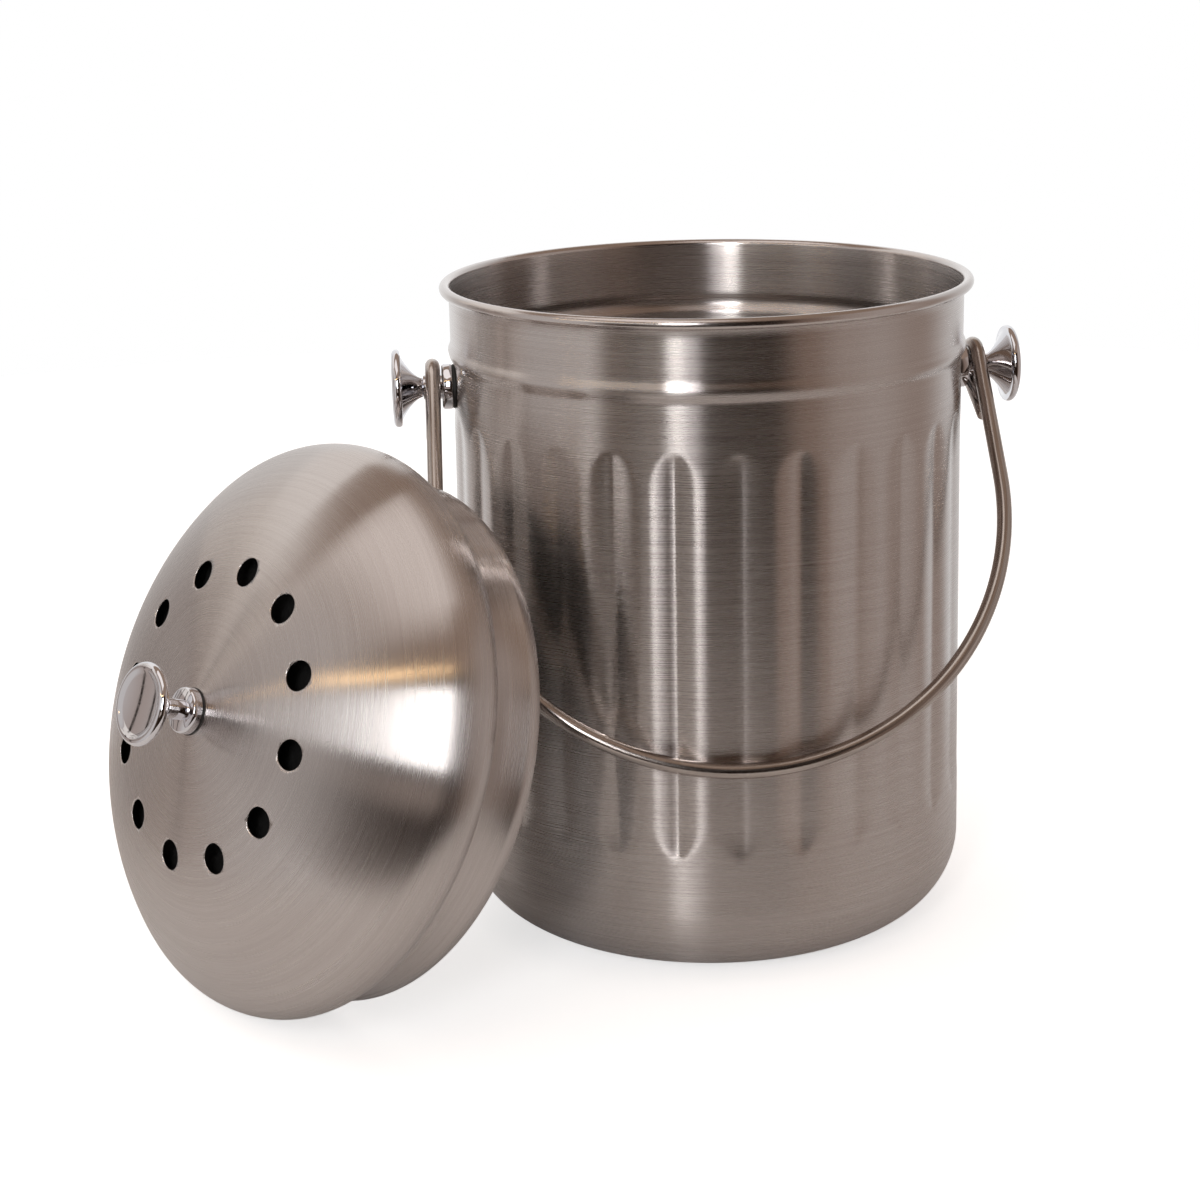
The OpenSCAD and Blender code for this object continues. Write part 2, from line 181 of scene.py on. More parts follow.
# %% [markdown]
# ## The fluted wall
# The wall is one sheet with a rolled edge. Each flute is pressed in from outside: a sharp crease
# with two nearly flat faces that fade into the wall. The flute narrows to a round arch at the top
# and to a blunt point at the bottom. Moving the points of a fine lathe mesh in and out gives the
# pressed shape, and it stays one clean surface that catches long reflections.


# %% Shape of the pressed wall
def crease_depth(share):
    return 0.0 if share >= 1 else 1 - 1.5 * share + 0.5 * share ** 3


def flute_width(z):
    arch, point, bluntness = 13, 12, 1.3
    if z <= FLUTE_LOW or z >= FLUTE_TOP:
        return 0.0
    if z > FLUTE_TOP - arch:
        return math.sqrt(max(0, 1 - ((z - FLUTE_TOP + arch) / arch) ** 2))
    if z < FLUTE_LOW + point:
        return math.sqrt(max(0, 1 - ((FLUTE_LOW + point - z) / point) ** 2)) ** bluntness
    return 1.0


def flute_depth(a, z):
    share = (a - FLUTE_PHASE) / FLUTE_STEP
    off = abs(share - round(share)) * 2
    width = flute_width(z)
    return FLUTE_D * width * crease_depth(off / width) if width > 0.02 else 0.0


# %% Flats under the ears
# A flat is pressed into the round wall at each ear, so that the gasket seals all round
def ear_press(a, z):
    depth, softness, reach = 0.0, 14, 20
    for side in (math.pi / 2, 3 * math.pi / 2):
        y, h = body_r(EAR_Z) * math.sin(a - side), z - EAR_Z
        if abs(y) < reach and math.cos(a - side) > 0:
            near = math.hypot(y, h) / EAR_FLAT_R
            flat = max(0, body_r(z) * math.cos(a - side) - EAR_FACE)
            ease = 1 / (1 + math.exp((near - 1) * softness))
            depth = max(depth, flat * ease)
    return depth


def wall_press(a, z):
    return -(flute_depth(a, z) + ear_press(a, z))


print("pressed in at a flute", FLUTE_D, "mm, at an ear",
      round(ear_press(math.pi / 2, EAR_Z), 2), "mm")


# %% Outline of the wall
# Rows of points are close together where the shape changes and far apart where it is plain
def rows_between(low, high, count):
    return [low + (high - low) * i / count for i in range(count)]


def wall_side(inset):
    low = math.degrees(-math.asin((CORNER_R - SEAM_Z) / (CORNER_R - inset)))
    side = arc((FOOT_R - CORNER_R, CORNER_R), CORNER_R - inset, low, 0, 14)
    rows = rows_between(30, 48, 6) + rows_between(48, 62, 12) + [62]
    rows += rows_between(64, 172, 22) + [172] + rows_between(174, 190, 16) + [190]
    rows += rows_between(191.5, 205.5, 10)
    side += [(body_r(z) - inset, z) for z in rows]
    for i in range(13):
        u = i / 12
        base = BODY_TOP_R + (NECK_R - BODY_TOP_R) * u
        swell = BEAD_OUT * math.sin(math.pi * u) ** 1.3
        side.append((base - inset + swell, BEAD_LOW + (BEAD_HIGH - BEAD_LOW) * u))
    side += [(NECK_R - inset, z) for z in (213.2, 215, 218, 222, 226)]
    return side


RIM_FOOT_Z = 228.9
rim_c = (MOUTH_R + RIM_R, PAIL_H - RIM_R)
rolled = ([(NECK_R, RIM_FOOT_Z)] + arc(rim_c, RIM_R, 232, 450, 22)[1:]
          + arc(rim_c, RIM_R, 90, 178, 8)[1:])
wall_outline = wall_side(0) + rolled + wall_side(SHEET)[::-1]
print("wall outline:", len(wall_outline), "points")

# %% Pail wall
STEPS_PER_FLUTE, PRESS_LOW, PRESS_HIGH = 16, 29, 209
pail_wall = turned(
    "pail_wall", wall_outline, steps=FLUTES * STEPS_PER_FLUTE, corner=70,
    shape=lambda a, z: wall_press(a, z) if PRESS_LOW < z < PRESS_HIGH else 0)
# The middle line of a flute is a crease, so its edges stay sharp while the rest is smoothed
mesh = pail_wall.data
for edge in mesh.edges:
    ends = [mesh.vertices[v].co / MM for v in edge.vertices]
    shares = [(math.atan2(p.x, -p.y) - FLUTE_PHASE) / FLUTE_STEP for p in ends]
    if all(abs(t - round(t)) < 0.01 and FLUTE_LOW < p.z < FLUTE_TOP for t, p in zip(shares, ends)):
        edge.use_edge_sharp = True
print("pail wall:", len(mesh.polygons), "faces")

# %% [markdown]
# ## The base pan
# The bottom is a separate pressed pan. Its edge is folded with the wall's edge, and the fold
# leaves a fine line just above the floor. A shallow ring pressed into it keeps the sheet flat.
# Every turned piece that reaches the axis ends 0.02 mm from it: a lathe can't close on the axis
# itself without faces that have no width.

# %% Base pan
AXIS, FOLD_IN, SEAM_STEP = 0.02, 0.4, 0.35
pan_ring = [(AXIS, 0), (49, 0), (50, 0.2), (51, 1), (57, 1), (58, 0.2), (59, 0)]
seam_a = math.degrees(-math.asin((CORNER_R - SEAM_Z) / CORNER_R))
pan_outer = pan_ring + arc((FOOT_R - CORNER_R, CORNER_R), CORNER_R, -90, seam_a - 0.4, 16)
pan_inner = [(r if r < FOOT_R - CORNER_R else r - FOLD_IN, z + SHEET) for r, z in pan_outer]
pan_outer[-1] = (pan_outer[-1][0] - SEAM_STEP, pan_outer[-1][1])
base_pan = turned("base_pan", pan_outer + pan_inner[::-1], steps=216, corner=60)
print("base pan:", len(base_pan.data.polygons), "faces")

# %% [markdown]
# ## The lid
# The dome is spun from one sheet: a low cone, a broad curve, a tight shoulder and a curl under it
# that ends on the skirt. The skirt is a band with a folded hem. The lid stands on its skirt and
# leans towards the bail, half a millimetre clear of the wire, so its pieces are all placed with
# the same two turns and one shift.

# %% Lid frame and sizes
LID_C = Vector((-128.547, -49.878, 84.621))
LID_TURN, LID_LEAN = math.radians(55.4), math.radians(20.8)
SKIRT_R, SKIRT_BODY_R, SKIRT_H, HEM_H, DOME_T = 90.2, 89.9, 21.7, 5, 0.6
SEAT_R, SEAT_Z = 8.3, 71.64
VENTS, VENT_RING, VENT_R, VENT_PHASE = 12, 48.4, 5, math.radians(-2)

on_lid = (Matrix.Translation(LID_C) @ Matrix.Rotation(math.radians(-90) - LID_TURN, 4, "Z")
          @ Matrix.Rotation(math.radians(90) - LID_LEAN, 4, "Y"))
print("the lid's top looks along", [round(c, 2) for c in on_lid.to_3x3() @ Vector((0, 0, 1))])


# %% Outline of the dome
def dome_line(inset):
    line = [(SEAT_R, SEAT_Z - inset)]
    line += arc((26.53, -25.77), 93.3 - inset, 80.9, 45, 28)
    line += arc((80.2, 27.9), 17.4 - inset, 43, 0, 20)
    line += arc((90.9, 27.9), 6.7 - inset, -6, -93.4, 16)
    return line


SCREW_HOLE = 2.1
dome_outline = ([(SCREW_HOLE, SEAT_Z)] + dome_line(0) + [(SKIRT_BODY_R + 0.05, SKIRT_H + 0.6)]
                + dome_line(DOME_T)[::-1] + [(SCREW_HOLE, SEAT_Z - DOME_T)])
lid_dome = turned("lid_dome", dome_outline, steps=240, place=on_lid, corner=50, reverse=True)
print("dome without vents:", len(lid_dome.data.polygons), "faces")

# %% [markdown]
# ### The vents
# Twelve round holes let the air through to the filter. They could be modelled into the mesh by
# hand, but a boolean is quicker and exact: twelve round punches are taken from the dome in one
# step. The cut edge is a crisp one, as a press leaves it.


# %% Vents
def apply_modifiers(piece):
    graph = bpy.context.evaluated_depsgraph_get()
    cut = bpy.data.meshes.new_from_object(piece.evaluated_get(graph))
    piece.modifiers.clear()
    piece.data = cut
    return piece


PUNCH_LOW, PUNCH_HIGH, SIDES = 40, 90, 48
punches, punch_faces = [], []
for v in range(VENTS):
    a = VENT_PHASE + 2 * math.pi * v / VENTS
    x, y, start = VENT_RING * math.cos(a), VENT_RING * math.sin(a), len(punches)
    for z in (PUNCH_LOW, PUNCH_HIGH):
        for k in range(SIDES):
            t = 2 * math.pi * k / SIDES
            punches.append(on_lid @ Vector((x + VENT_R * math.cos(t), y + VENT_R * math.sin(t), z)))
    low = [start + k for k in range(SIDES)]
    high = [i + SIDES for i in low]
    punch_faces += [low[::-1], high]
    punch_faces += [[low[k - 1], low[k], high[k], high[k - 1]] for k in range(SIDES)]
punch = mesh_piece("punch", punches, punch_faces, [[(0, 0)] * len(f) for f in punch_faces])
cut = lid_dome.modifiers.new("vents", "BOOLEAN")
cut.object, cut.solver = punch, "EXACT"
apply_modifiers(lid_dome)
bpy.data.objects.remove(punch)
print("dome with", VENTS, "vents:", len(lid_dome.data.polygons), "faces")

# %% Skirt
SKIRT_IN, SKIRT_TOP = 89.3, 25.7
skirt_outline = [
    (SKIRT_IN, 0.3), (89.5, 0), (SKIRT_R - 0.25, 0), (SKIRT_R, 0.3), (SKIRT_R, HEM_H - 0.2),
    (SKIRT_BODY_R, HEM_H + 0.1), (SKIRT_BODY_R, SKIRT_TOP), (SKIRT_IN, SKIRT_TOP)]
lid_skirt = turned("lid_skirt", skirt_outline, steps=240, place=on_lid, corner=50)
print("skirt:", len(lid_skirt.data.polygons), "faces")


# %% [markdown]
# ## Knobs and their fittings
# Each knob is die-cast, polished and plated: a slim neck that flares like a trumpet into a disc
# with a thick rolled edge and a dished face. The same outline serves both ears and the lid.

# %% Knob outline
KNOB_R, KNOB_L, TIP_R, TIP_EDGE, EDGE_R = 13.75, 10.9, 3.4, 0.3, 1.8
DISH, DISH_RISE, FLARE = 1.2, 0.825, 1.7


def knob_outline(stem):
    top = stem + KNOB_L
    edge_c = (KNOB_R - EDGE_R, top - EDGE_R)
    flare = edge_c[1] - EDGE_R * 0.6 - stem
    neck = [(TIP_R + (edge_c[0] - TIP_R) * (i / 20) ** FLARE, stem + flare * i / 20)
            for i in range(21)]
    face = [(edge_c[0] * (1 - i / 14), top - DISH + DISH_RISE * (1 - i / 14) ** 2)
            for i in range(2, 14)]
    tip = [(AXIS, 0), (TIP_R - TIP_EDGE, 0), (TIP_R, TIP_EDGE)]
    return (tip + neck[(0 if stem else 1):] + arc(edge_c, EDGE_R, -40, 118, 18) + face
            + [(AXIS, top - DISH)])


print("knob outline:", len(knob_outline(0)), "points")


# %% Ear pieces
def at_ear(side):
    return Matrix.Translation((0, 0, EAR_Z)) @ Matrix.Rotation(side * math.pi / 2, 4, "Y")


knobs, bushes, gaskets = {}, {}, {}
for side, word in ((-1, "left"), (1, "right")):
    knobs[word] = turned("knob_" + word, knob_outline(0), steps=96,
                         place=at_ear(side) @ Matrix.Translation((0, 0, HUB_END)))
    z0, z1 = EAR_FACE + GASKET_T, EAR_FACE + GASKET_T + FLANGE_T
    bushes[word] = turned("bush_" + word, [
        (SCREW_HOLE, z0), (FLANGE_R - 0.4, z0), (FLANGE_R, z0 + 0.4), (FLANGE_R, z1 - 0.7),
        (FLANGE_R - 0.3, z1 - 0.2), (FLANGE_R - 0.8, z1), (HUB_R, z1), (HUB_R, HUB_END),
        (SCREW_HOLE, HUB_END)], steps=72, place=at_ear(side))
    gaskets[word] = turned("gasket_" + word, [
        (SCREW_HOLE, EAR_FACE), (GASKET_R - 0.3, EAR_FACE), (GASKET_R, EAR_FACE + 0.3),
        (GASKET_R, z0 - 0.3), (GASKET_R - 0.3, z0), (SCREW_HOLE, z0)],
        steps=72, place=at_ear(side))
print("ears:", len(knobs) + len(bushes) + len(gaskets), "pieces")

# %% Lid knob
RING_T, COLLAR_R, STEM = 0.6, 7.7, 5.6
COLLAR_Z, LID_KNOB_Z = SEAT_Z + RING_T, SEAT_Z + 4.1
lid_knob = turned("knob_lid", knob_outline(STEM), steps=128,
                  place=on_lid @ Matrix.Translation((0, 0, LID_KNOB_Z)))
lid_collar = turned("collar_lid", [
    (SCREW_HOLE, COLLAR_Z), (COLLAR_R - 0.3, COLLAR_Z), (COLLAR_R, COLLAR_Z + 0.3),
    (COLLAR_R, COLLAR_Z + 2.6), (COLLAR_R - 0.3, COLLAR_Z + 3.2), (COLLAR_R - 0.8, COLLAR_Z + 3.5),
    (SCREW_HOLE, COLLAR_Z + 3.5)], steps=96, place=on_lid)
lid_ring = turned("ring_lid", [
    (SCREW_HOLE, SEAT_Z), (COLLAR_R, SEAT_Z), (COLLAR_R + 0.2, SEAT_Z + RING_T / 2),
    (COLLAR_R, SEAT_Z + RING_T), (SCREW_HOLE, SEAT_Z + RING_T)], steps=96, place=on_lid)
print("lid knob:", len(lid_knob.data.polygons), "faces")

# %% [markdown]
# ## The bail
# The handle is one bent wire. Its path goes round the pivot in an open eye, down a leg, round the
# half-circle bow and up the other side. A tube swept along that path, with its own frame at each
# point, makes the wire.

# %% Sizes of the bail
WIRE_R, EYE_R, EYE_X, LEG_L = 2.65, 7.45, 97.879, 46.5
SPLAY, TAIL_W, TAIL_L = math.radians(2), 2.05, 21
BOW_R = (EYE_X + LEG_L * math.sin(SPLAY)) / math.cos(SPLAY)
BOW_L = LEG_L * math.cos(SPLAY) + BOW_R * math.sin(SPLAY)
BAIL_TILT = math.radians(36.274)
TAIL_A = math.atan2(TAIL_W, TAIL_L) - math.acos(EYE_R / math.hypot(TAIL_W, TAIL_L))
on_bail = Matrix.Translation((0, 0, EAR_Z)) @ Matrix.Rotation(-BAIL_TILT, 4, "X")
print("bow radius", round(BOW_R, 2), "mm")


# %% Bail path
def bail_leg(side):
    eye_end = 1.5 * math.pi + TAIL_A
    eye = [eye_end * (1 - i / 48) for i in range(49)]
    start = Vector((0, -EYE_R * math.cos(eye_end), EYE_R * math.sin(eye_end)))
    end = Vector((0, -TAIL_W, -TAIL_L))
    flat = [end.lerp(start, t) for t in (0, 0.02, 0.35, 0.7)]
    flat += [Vector((0, -EYE_R * math.cos(t), EYE_R * math.sin(t))) for t in eye]
    flat += [Vector((0, -EYE_R, -LEG_L * t)) for t in (0.25, 0.5, 0.75)]
    splay = Matrix.Rotation(-SPLAY, 4, "Y")
    leg = [splay @ p + Vector((EYE_X, 0, 0)) for p in flat]
    return [Vector((side * p.x, p.y, p.z)) for p in leg]


bow = [math.pi + SPLAY - (math.pi + 2 * SPLAY) * i / 96 for i in range(97)]
bow = [Vector((BOW_R * math.cos(t), -EYE_R, -BOW_L - BOW_R * math.sin(t))) for t in bow]
path = [on_bail @ p for p in bail_leg(-1) + bow + bail_leg(1)[::-1]]
print("bail path:", len(path), "points")


# %% Wire tube
# The cut ends are drawn a little thinner, as a file leaves them
CUT_END = 0.86


def wire_points(path, radius, sides):
    points, side, turns = [], None, [2 * math.pi * k / sides for k in range(sides)]
    for i, p in enumerate(path):
        along = (path[min(i + 1, len(path) - 1)] - path[max(i - 1, 0)]).normalized()
        side = along.orthogonal().normalized() if side is None else side
        side = (side - along * side.dot(along)).normalized()
        up = along.cross(side)
        r = radius * (CUT_END if i in (0, len(path) - 1) else 1)
        points += [p + r * (side * math.cos(t) + up * math.sin(t)) for t in turns]
    return points


def wire(name, path, radius, sides=24):
    points, faces, uvs, length = wire_points(path, radius, sides), [], [], 0.0
    for i in range(len(path) - 1):
        step = (path[i + 1] - path[i]).length * MM
        for k in range(sides):
            n = (k + 1) % sides
            a, b = i * sides, (i + 1) * sides
            faces.append([a + k, a + n, b + n, b + k])
            u0, u1 = k / sides, (k + 1) / sides
            uvs.append([(u0, length), (u1, length), (u1, length + step), (u0, length + step)])
        length += step
    first = list(range(sides))
    for end in (first[::-1], [len(points) - sides + k for k in first]):
        faces.append(end)
        uvs.append([(0, length)] * sides)
    print(name, "is", round(length * 1000), "mm of wire")
    return mesh_piece(name, points, faces, uvs, 50)


bail = wire("bail_wire", path, WIRE_R)

# %% [markdown]
# ## Materials
# One function turns the hex colours to linear light, and one adds a node with its settings and
# links. Every finish is worked out from what the real one is: how the surface was made decides
# the scale and the direction of its pattern.


# %% Colour and node helpers
def linear(code):
    parts = [int(code[i:i + 2], 16) / 255 for i in (1, 3, 5)]
    return tuple(c / 12.92 if c <= 0.04045 else ((c + 0.055) / 1.055) ** 2.4 for c in parts) + (1,)


def add(tree, kind, inputs=None, **settings):
    made = tree.nodes.new(kind)
    for key, value in settings.items():
        setattr(made, key, value)
    for key, value in (inputs or {}).items():
        if isinstance(value, bpy.types.NodeSocket):
            tree.links.new(value, made.inputs[key])
        else:
            made.inputs[key].default_value = value
    return made


def finish_named(name):
    material = bpy.data.materials.new(name)
    material.use_nodes = True
    tree = material.node_tree
    tree.nodes.clear()
    return material, tree


print("mid grey #808080 is", round(linear("#808080")[0], 3), "in linear light")

# %% [markdown]
# ### Brushed stainless steel
# Sheet steel is brushed by turning it against an abrasive belt, which leaves fine scratches that
# run round the piece. Each scratch is a tiny mirror cylinder, so a highlight is smeared across the
# scratches into a long streak. That smear is what the anisotropic setting gives; the tangent from
# the texture map tells it which way the scratches run. The scratches themselves are drawn as noise
# that is long round the piece and fine across it. An image could hold them as well, but noise has
# no seam and no size limit. Real grit lines are about 0.05 mm apart; they are drawn 0.3 mm and
# 0.9 mm apart, as streaks 55 mm and 80 mm long, so that they show.


# %% Grain of brushed and wiped metal
def grain(tree, radius, length, width, detail):
    uv = add(tree, "ShaderNodeUVMap", uv_map="UVMap")
    uv = add(tree, "ShaderNodeSeparateXYZ", {0: uv.outputs[0]})
    angle = add(tree, "ShaderNodeMath", {0: uv.outputs[0], 1: 2 * math.pi}, operation="MULTIPLY")
    reach = radius / length
    parts = {}
    for key, kind in (("X", "COSINE"), ("Y", "SINE")):
        round_it = add(tree, "ShaderNodeMath", {0: angle.outputs[0]}, operation=kind)
        parts[key] = add(tree, "ShaderNodeMath", {0: round_it.outputs[0], 1: reach},
                         operation="MULTIPLY").outputs[0]
    parts["Z"] = add(tree, "ShaderNodeMath", {0: uv.outputs[1], 1: 1000 / width},
                     operation="MULTIPLY").outputs[0]
    where = add(tree, "ShaderNodeCombineXYZ", parts)
    return add(tree, "ShaderNodeTexNoise", {"Vector": where.outputs[0], "Scale": 1.0,
                                            "Detail": detail, "Roughness": 0.6}).outputs[0]


# Noise stays near its middle, so its useful part, 0.3 to 0.7, is stretched to the wanted range
def ranged(tree, value, low, high):
    return add(tree, "ShaderNodeMapRange", {"Value": value, "From Min": 0.3, "From Max": 0.7,
                                            "To Min": low, "To Max": high}).outputs[0]


# %% Brushed steel
SCRATCH_DEEP = 0.00002


def brushed_steel(name, light, dark, radius, rough, aniso, bump):
    material, tree = finish_named(name)
    fine = grain(tree, radius, 55, 0.3, 1.0)
    broad = grain(tree, radius, 80, 0.9, 1.0)
    tone = add(tree, "ShaderNodeMath", {0: fine, 1: broad}, operation="ADD")
    tone = add(tree, "ShaderNodeMath", {0: tone.outputs[0], 1: 0.5}, operation="MULTIPLY")
    colour = add(tree, "ShaderNodeMix", {"Factor": ranged(tree, tone.outputs[0], 0, 1),
                                         "A": linear(dark), "B": linear(light)}, data_type="RGBA")
    height = add(tree, "ShaderNodeBump", {"Height": fine, "Strength": bump,
                                          "Distance": SCRATCH_DEEP})
    along = add(tree, "ShaderNodeTangent", direction_type="UV_MAP", uv_map="UVMap")
    shader = add(tree, "ShaderNodeBsdfPrincipled", {
        "Base Color": colour.outputs["Result"], "Metallic": 1.0,
        "Roughness": ranged(tree, fine, rough - 0.015, rough + 0.02),
        "Anisotropic": aniso, "Anisotropic Rotation": 0.25,
        "Normal": height.outputs[0], "Tangent": along.outputs[0]})
    add(tree, "ShaderNodeOutputMaterial", {"Surface": shader.outputs[0]})
    return material


# The wall and base: a satin sheet with long streaks of light from top to bottom
pail_steel = brushed_steel("brushed_stainless_steel", "#d4cecb", "#c7bfbc", 91, 0.27, 1.0, 0.002)
# The rolled rim: rolling burnishes the sheet, so it is smoother and its streak is shorter
rim_steel = brushed_steel("rolled_stainless_steel", "#d4cecb", "#cbc4c1", 91, 0.21, 0.7, 0.006)
# The lid: spun on a lathe, then brushed round, so its light falls in wedges from the middle
lid_steel = brushed_steel("spun_brushed_stainless_steel", "#d5cfcc", "#c9c2bf", 60, 0.26, 1.0,
                          0.002)
print("steels:", pail_steel.name, rim_steel.name, lid_steel.name)

# %% [markdown]
# ### Mirror chrome, satin wire and the dark parts
# The knobs are polished and chrome plated: a bright, slightly cool metal with almost no blur and a
# few faint wipe marks. The wire is drawn stainless steel, so its lines run along it. The gaskets
# are moulded rubber, the filter holder is moulded polypropylene and the filter is felt with
# charcoal. Wipe marks and draw lines only change the roughness: a dent would be far too deep.


# %% Mirror chrome
# Wipe marks about 6 mm long and 1.5 mm apart, which the eye takes for a handled, wiped surface
def mirror_chrome():
    material, tree = finish_named("mirror_chrome_plate")
    marks = grain(tree, 10, 6, 1.5, 2.0)
    shader = add(tree, "ShaderNodeBsdfPrincipled", {
        "Base Color": linear("#e4e4e8"), "Metallic": 1.0,
        "Roughness": ranged(tree, marks, 0.03, 0.09)})
    add(tree, "ShaderNodeOutputMaterial", {"Surface": shader.outputs[0]})
    return material


chrome = mirror_chrome()
print("knob finish:", chrome.name)


# %% Drawn wire
# A die leaves fine lines along the wire: 24 round it, and each about 25 mm long
def satin_wire():
    material, tree = finish_named("drawn_steel_wire")
    uv = add(tree, "ShaderNodeUVMap", uv_map="UVMap")
    stretch = add(tree, "ShaderNodeMapping", {"Vector": uv.outputs[0], "Scale": (24, 40, 1)})
    lines = add(tree, "ShaderNodeTexNoise", {"Vector": stretch.outputs[0], "Scale": 1.0,
                                             "Detail": 2.0})
    colour = add(tree, "ShaderNodeMix", {"Factor": ranged(tree, lines.outputs[0], 0, 1),
                                         "A": linear("#a89f99"), "B": linear("#cdc5bf")},
                 data_type="RGBA")
    shader = add(tree, "ShaderNodeBsdfPrincipled", {
        "Base Color": colour.outputs["Result"], "Metallic": 1.0,
        "Roughness": ranged(tree, lines.outputs[0], 0.16, 0.26)})
    add(tree, "ShaderNodeOutputMaterial", {"Surface": shader.outputs[0]})
    return material


wire_steel = satin_wire()
print("bail finish:", wire_steel.name)


# %% Rubber, plastic, felt and screw steel
# Rubber is dull and soft-edged, the plastic has a faint sheen and a fine moulded texture, the felt
# is a rough black that gives no highlight, and zinc plate is a pale, slightly cloudy metal
def plain_finish(name, light, dark, rough, grain_mm, bump, metallic=0.0, ior=1.5):
    material, tree = finish_named(name)
    place = add(tree, "ShaderNodeTexCoord").outputs["Object"]
    speck = add(tree, "ShaderNodeTexNoise", {"Vector": place, "Scale": 1000 / grain_mm,
                                             "Detail": 4.0})
    colour = add(tree, "ShaderNodeMix", {"Factor": ranged(tree, speck.outputs[0], 0, 1),
                                         "A": linear(dark), "B": linear(light)}, data_type="RGBA")
    height = add(tree, "ShaderNodeBump", {"Height": speck.outputs[0], "Strength": bump,
                                          "Distance": grain_mm * MM * 0.3})
    shader = add(tree, "ShaderNodeBsdfPrincipled", {
        "Base Color": colour.outputs["Result"], "Metallic": metallic, "IOR": ior,
        "Roughness": ranged(tree, speck.outputs[0], rough - 0.05, rough + 0.05),
        "Normal": height.outputs[0]})
    add(tree, "ShaderNodeOutputMaterial", {"Surface": shader.outputs[0]})
    return material


rubber = plain_finish("moulded_black_rubber", "#2a2927", "#1b1a19", 0.6, 0.8, 0.3)
plastic = plain_finish("moulded_black_polypropylene", "#1a1a1a", "#121212", 0.42, 1.2, 0.2)
felt = plain_finish("charcoal_felt", "#1f1e1d", "#0c0b0b", 0.95, 1.6, 0.9)
screw_steel = plain_finish("zinc_plated_steel", "#c3c3c2", "#a5a6a7", 0.3, 2.0, 0.1, metallic=1.0)
print("finishes made:", len(bpy.data.materials))

# %% [markdown]
# ## Who rides on what
# Each piece moves with the body of its solid: the wall, base and ears with the pail, the wire with
# the bail, the dome and everything screwed to it with the lid. The filter's own solids are plain
# discs and a grille that are seen only from below, so they are kept and only get a material.

# %% Bodies, solids and slots
rides = [
    (pail_wall, "pail", ["pail_shell"], "brushed_steel", pail_steel),
    (base_pan, "pail", ["base_pan"], "brushed_steel", pail_steel),
    (bail, "bail", ["bail_handle"], "satin_wire", wire_steel),
    (lid_dome, "lid", ["lid_dome"], "brushed_lid", lid_steel),
    (lid_skirt, "lid", ["lid_skirt"], "brushed_lid", lid_steel),
    (lid_knob, "lid", ["lid_knob"], "mirror_chrome", chrome),
    (lid_collar, "lid", ["lid_collar"], "mirror_chrome", chrome),
    (lid_ring, "lid", ["lid_ring_gasket"], "black_rubber", rubber)]
for word in ("left", "right"):
    rides += [(knobs[word], "pail", ["ear_knob_" + word], "mirror_chrome", chrome),
              (bushes[word], "pail", ["ear_bush_" + word], "mirror_chrome", chrome),
              (gaskets[word], "pail", ["ear_gasket_" + word], "black_rubber", rubber)]
for piece, body, nodes, slot, material in rides:
    piece.data.materials.clear()
    piece.data.materials.append(material)
    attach(piece, body)
    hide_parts(*nodes)
print("pieces:", len(rides))

# %% Rim finish
pail_wall.data.materials.append(rim_steel)
for face in pail_wall.data.polygons:
    face.material_index = 1 if face.center.z > (RIM_FOOT_Z + 0.1) * MM else 0
print("rim faces:", sum(face.material_index for face in pail_wall.data.polygons))

# %% Kept solids
kept = {"filter_holder": plastic, "filter_grille": plastic, "charcoal_filter": felt}
for word in ("left", "right"):
    kept["ear_washer_" + word] = kept["ear_screw_" + word] = screw_steel
kept["lid_washer"] = kept["lid_screw"] = screw_steel
for name, material in kept.items():
    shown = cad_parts[name]
    if not shown.material_slots:
        shown.data.materials.append(material)
    for space in shown.material_slots:
        space.material = material
print("kept solids:", len(kept))

# %% [markdown]
# ## The studio
# Polished and brushed metal shows what stands round it, so the room matters more than the lamps.
# A tall ring of cloth surrounds the pail. Its bright parts make the highlights and its dark parts
# make the contrast between them. One ring with a ramp of levels is easier to tune than many lamps.
# The camera doesn't see the ring, it sees the pale background.


# %% Stage helpers
def stage_piece(name, points, faces, material, camera_sees=True, shades=True):
    mesh = bpy.data.meshes.new(name)
    mesh.from_pydata(points, [], faces)
    mesh.shade_smooth()
    made = bpy.data.objects.new(name, mesh)
    bpy.context.scene.collection.objects.link(made)
    made.data.materials.append(material)
    made.visible_camera, made.visible_shadow = camera_sees, shades
    made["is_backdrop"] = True
    return made


def circle(radius, height, steps):
    turns = [2 * math.pi * k / steps for k in range(steps)]
    return [(radius * math.sin(t), -radius * math.cos(t), height) for t in turns]


def band(steps):
    return [[k, (k + 1) % steps, (k + 1) % steps + steps, k + steps] for k in range(steps)]


# %% Ring levels
# Cloth in shade takes a warm tint from the room, so the darker a level is, the warmer it gets
def stops(tree, value, table):
    ramp = add(tree, "ShaderNodeValToRGB", {"Fac": value})
    ramp.color_ramp.interpolation = "EASE"
    while len(ramp.color_ramp.elements) < len(table):
        ramp.color_ramp.elements.new(0.5)
    for element, (place, level) in zip(ramp.color_ramp.elements, table):
        warm = 0.6 * max(0, 1 - level) ** 3
        tint = (1 + warm, 1 - 0.15 * warm, 1 - 0.7 * warm)
        element.position = place
        element.color = (*[level * t for t in tint], 1)
    return ramp.outputs[0]


# Degrees seen from the pail: 0 towards the camera, minus to its left; levels are radiance
AROUND = [(-180, 1.0), (-150, 0.9), (-125, 0.55), (-98, 0.33), (-78, 0.55), (-52, 0.56),
          (-40, 0.05), (-25, 0.015), (5, 0.01), (28, 0.01), (45, 0.18), (62, 0.34), (80, 0.4),
          (108, 0.3), (140, 0.7), (180, 1.0)]
print("ring levels:", len(AROUND))

